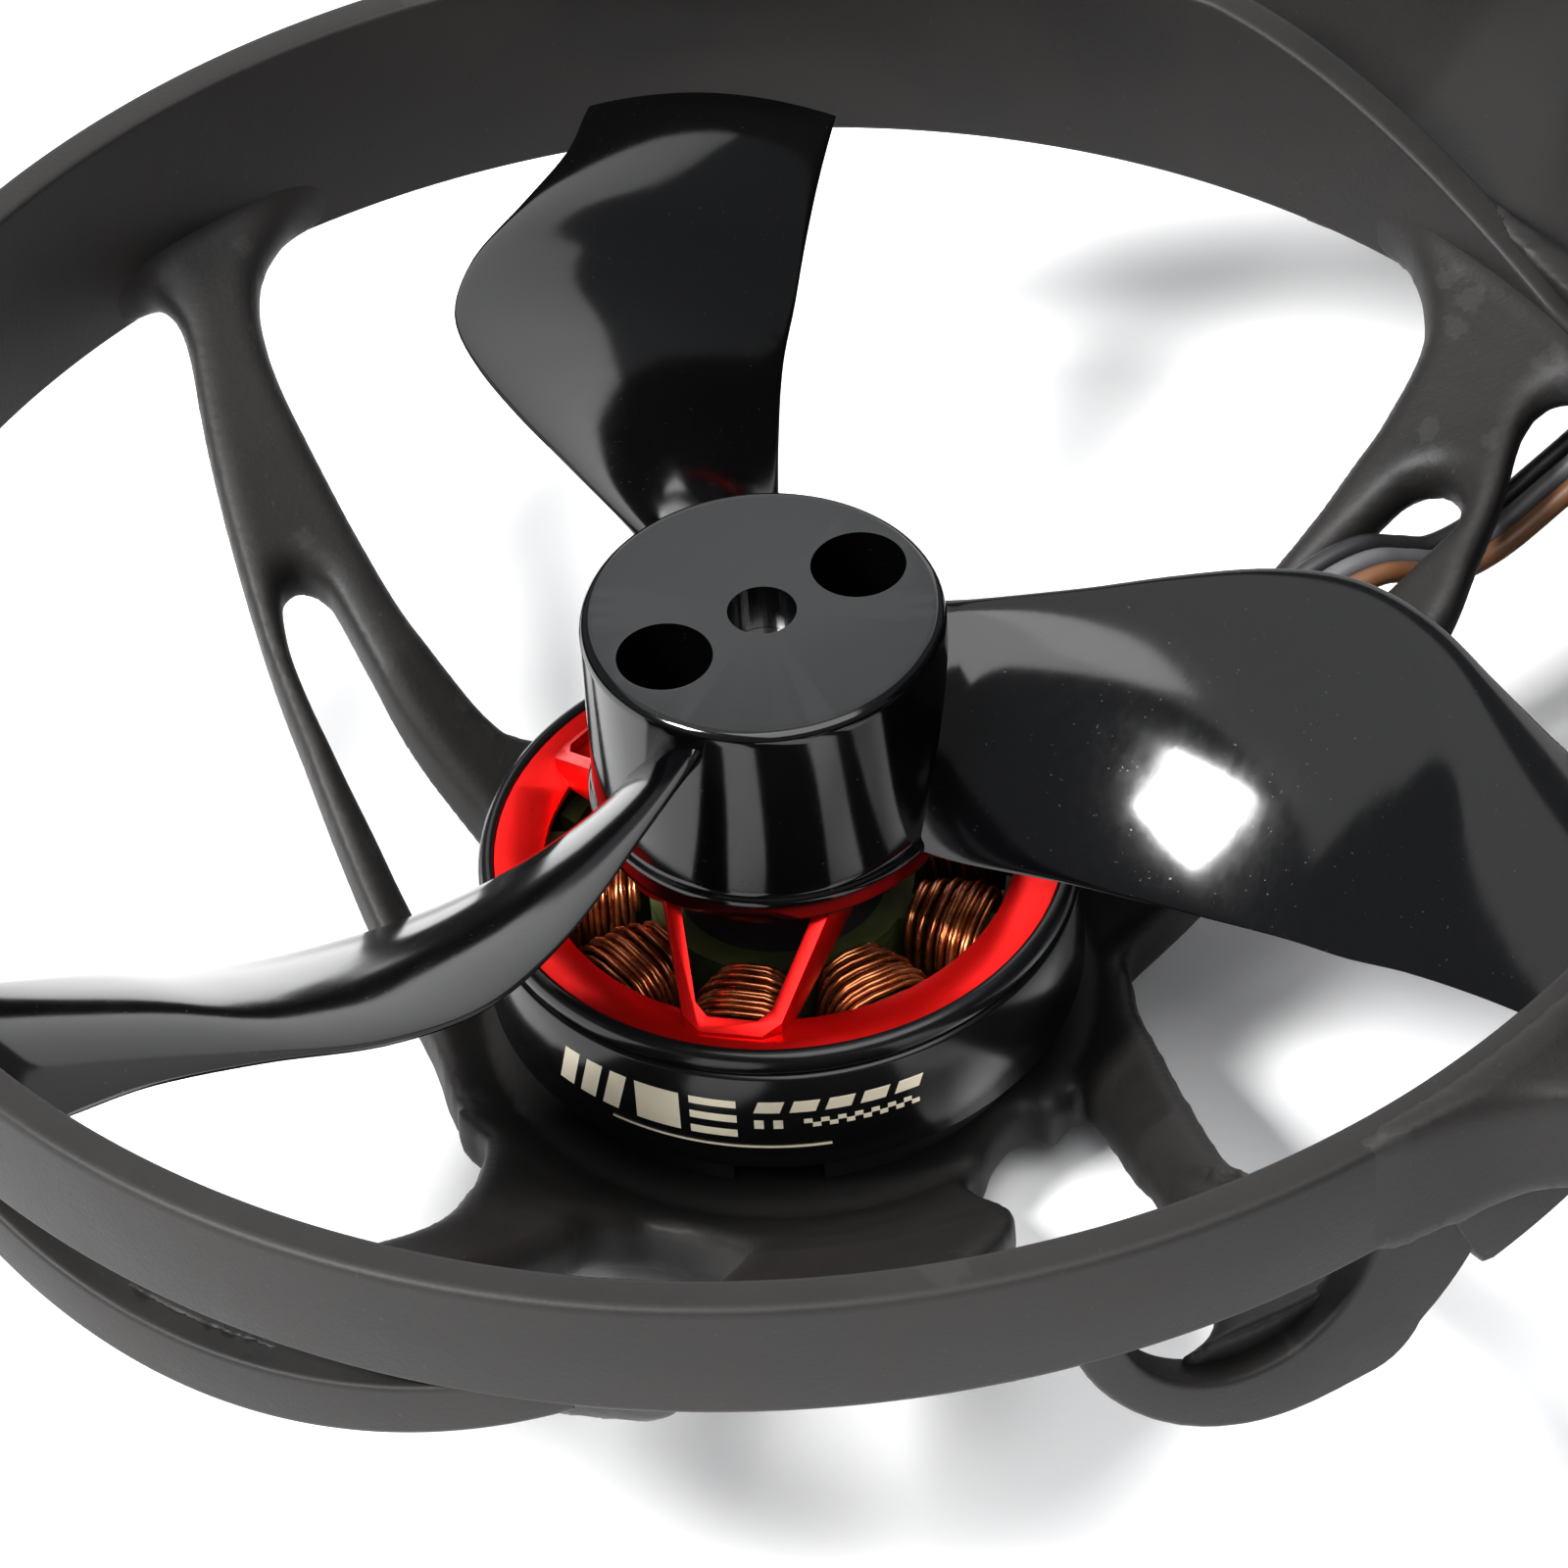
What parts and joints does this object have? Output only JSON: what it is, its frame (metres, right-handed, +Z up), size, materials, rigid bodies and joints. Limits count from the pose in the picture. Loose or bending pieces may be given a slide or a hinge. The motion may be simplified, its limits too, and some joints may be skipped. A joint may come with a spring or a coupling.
{
  "type": "fpv racing drone",
  "caption": "Small ducted quadcopter for first-person racing: ring ducts on a webbed frame, brushless motors, slide-in battery tray and a canopy with a tilting camera.",
  "frame": {"origin": "centre of the underside, on the surface it stands on", "axes": "+Z up, -Y towards the nose, +X towards the aircraft's left side"},
  "size_m": [0.097, 0.097, 0.0372],
  "materials": {
    "nylon": "fine matte moulded nylon",
    "prop_plastic": "high gloss",
    "bell_black": "gloss black with pale print",
    "bell_red": "red anodised",
    "magnet_plate": "nickel plated",
    "shaft_steel": "ground",
    "bearing_steel": "polished",
    "stator_coat": "epoxy coated laminations",
    "copper_wire": "enamelled copper",
    "base_black": "black anodised",
    "lead_sheath": "silicone sheath",
    "board_mask": "solder mask",
    "chip_epoxy": "moulded epoxy",
    "port_steel": "stamped",
    "grommet_rubber": "soft matte",
    "canopy_plastic": "satin moulded plastic",
    "screw_black": "black oxide",
    "camera_plastic": "matte moulded plastic",
    "lens_glass": "coated glass in a black barrel",
    "antenna_sleeve": "heat-shrink sleeve",
    "battery_wrap": "shrink wrap",
    "button_plastic": "matte"
  },
  "bodies": {
    "frame": {"centre_deck": "nylon", "battery_tray": "nylon", "flight_controller": "board_mask", "board_parts": "chip_epoxy", "usb_port": "port_steel", "grommets": "grommet_rubber", "canopy": "canopy_plastic", "canopy_screws": "screw_black", "antenna": "antenna_sleeve", "motor_screws": "screw_black", "duct_front_right": "nylon", "duct_front_left": "nylon", "duct_rear_right": "nylon", "duct_rear_left": "nylon", "motor_base_front_right": "base_black", "motor_base_front_left": "base_black", "motor_base_rear_right": "base_black", "motor_base_rear_left": "base_black", "bearings_front_right": "bearing_steel", "bearings_front_left": "bearing_steel", "bearings_rear_right": "bearing_steel", "bearings_rear_left": "bearing_steel", "stator_core_front_right": "stator_coat", "stator_core_front_left": "stator_coat", "stator_core_rear_right": "stator_coat", "stator_core_rear_left": "stator_coat", "windings_front_right": "copper_wire", "windings_front_left": "copper_wire", "windings_rear_right": "copper_wire", "windings_rear_left": "copper_wire", "motor_leads_front_right": "lead_sheath", "motor_leads_front_left": "lead_sheath", "motor_leads_rear_right": "lead_sheath", "motor_leads_rear_left": "lead_sheath"},
    "rotor_front_right": {"bell_ring_front_right": "bell_black", "bell_cap_front_right": "bell_red", "magnets_front_right": "magnet_plate", "shaft_front_right": "shaft_steel", "propeller_front_right": "prop_plastic"},
    "rotor_front_left": {"bell_ring_front_left": "bell_black", "bell_cap_front_left": "bell_red", "magnets_front_left": "magnet_plate", "shaft_front_left": "shaft_steel", "propeller_front_left": "prop_plastic"},
    "rotor_rear_right": {"bell_ring_rear_right": "bell_black", "bell_cap_rear_right": "bell_red", "magnets_rear_right": "magnet_plate", "shaft_rear_right": "shaft_steel", "propeller_rear_right": "prop_plastic"},
    "rotor_rear_left": {"bell_ring_rear_left": "bell_black", "bell_cap_rear_left": "bell_red", "magnets_rear_left": "magnet_plate", "shaft_rear_left": "shaft_steel", "propeller_rear_left": "prop_plastic"},
    "camera": {"camera_body": "camera_plastic", "camera_lens": "lens_glass"},
    "battery": {"battery": "battery_wrap"},
    "button": {"boot_button": "button_plastic"}
  },
  "joints": [
    {"name": "spin_front_right", "type": "hinge", "parent": "frame", "child": "rotor_front_right", "pos_m": [-0.0265, -0.0265, 0.0075], "axis": [0, 0, 1], "continuous": true},
    {"name": "spin_front_left", "type": "hinge", "parent": "frame", "child": "rotor_front_left", "pos_m": [0.0265, -0.0265, 0.0075], "axis": [0, 0, -1], "continuous": true},
    {"name": "spin_rear_right", "type": "hinge", "parent": "frame", "child": "rotor_rear_right", "pos_m": [-0.0265, 0.0265, 0.0075], "axis": [0, 0, -1], "continuous": true},
    {"name": "spin_rear_left", "type": "hinge", "parent": "frame", "child": "rotor_rear_left", "pos_m": [0.0265, 0.0265, 0.0075], "axis": [0, 0, 1], "continuous": true},
    {"name": "camera_tilt", "type": "hinge", "parent": "frame", "child": "camera", "pos_m": [0, -0.0145, 0.0245], "axis": [-1, 0, 0], "range_deg": [-20, 20]},
    {"name": "battery_slide", "type": "slide", "parent": "frame", "child": "battery", "axis": [0, 1, 0], "range_m": [0, 0.06]},
    {"name": "boot_press", "type": "slide", "parent": "frame", "child": "button", "axis": [0, 0, -1], "range_m": [0, 0.0002], "stiffness_N_per_m": 200, "springref_m": -0.0004}
  ]
}
